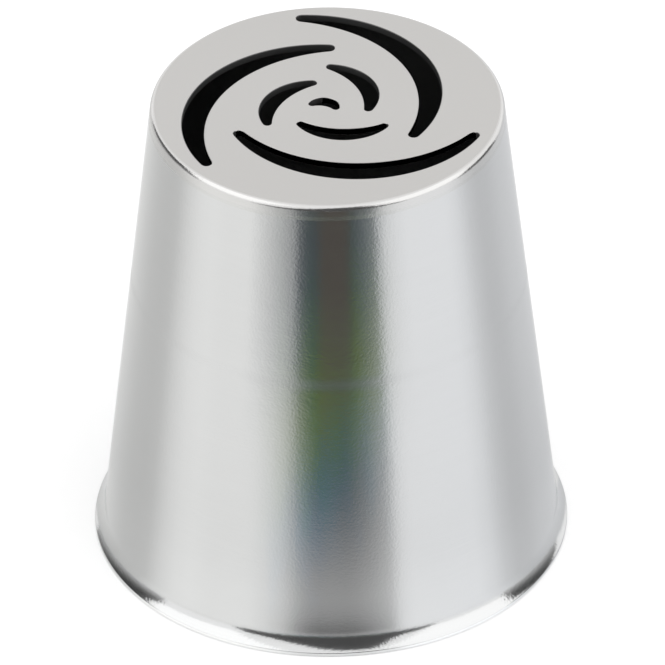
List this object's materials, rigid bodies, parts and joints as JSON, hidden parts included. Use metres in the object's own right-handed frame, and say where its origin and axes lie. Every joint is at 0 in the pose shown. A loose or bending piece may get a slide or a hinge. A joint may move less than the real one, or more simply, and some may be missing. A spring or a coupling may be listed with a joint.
{
  "type": "piping nozzle",
  "caption": "Tapered stainless steel piping nozzle with a flared lip; its flat end face has curved slots in rings that pipe a whole rose in one press.",
  "frame": {"origin": "centre of the ring on which the lip rests, on the nozzle's axis", "axes": "+Z along the axis, from the wide mouth to the slotted face; +X points to the right in the picture, -Y towards the camera"},
  "size_m": [0.035, 0.035, 0.037],
  "materials": {
    "shell_steel": "fine satin, polished round the axis",
    "weld_steel": "ground flush and polished",
    "cap_steel": "fine matt satin face, polished shoulder"
  },
  "bodies": {
    "root": {"tapered_shell": "shell_steel", "seam_weld": "weld_steel", "face_cap": "cap_steel"}
  },
  "joints": []
}
